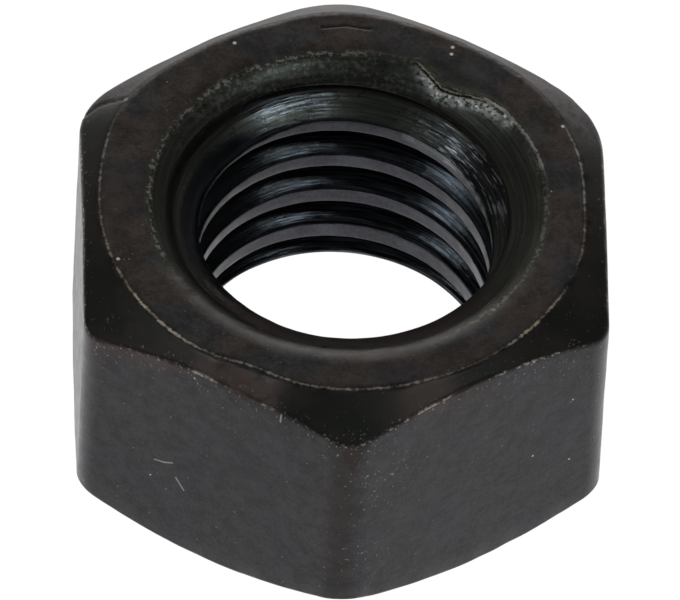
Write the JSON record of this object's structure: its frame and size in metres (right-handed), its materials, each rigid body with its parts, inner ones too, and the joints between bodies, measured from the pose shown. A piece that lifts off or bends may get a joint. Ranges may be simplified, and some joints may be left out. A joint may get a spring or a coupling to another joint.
{
  "type": "hex nut",
  "caption": "Black-oxide steel hex nut with chamfered faces, countersunk bore and a coarse right-hand internal thread.",
  "frame": {"origin": "centre of the hexagon on the lower bearing face", "axes": "+Z along the thread axis towards the upper bearing face; two corners of the hexagon lie on the Y axis and two flats face +X and -X"},
  "size_m": [0.019, 0.0216, 0.0109],
  "materials": {
    "black_oxide_steel": "black oxide over machined and forged steel, worn bright along the chamfer edges"
  },
  "bodies": {
    "root": {"nut_body": "black_oxide_steel"}
  },
  "joints": []
}
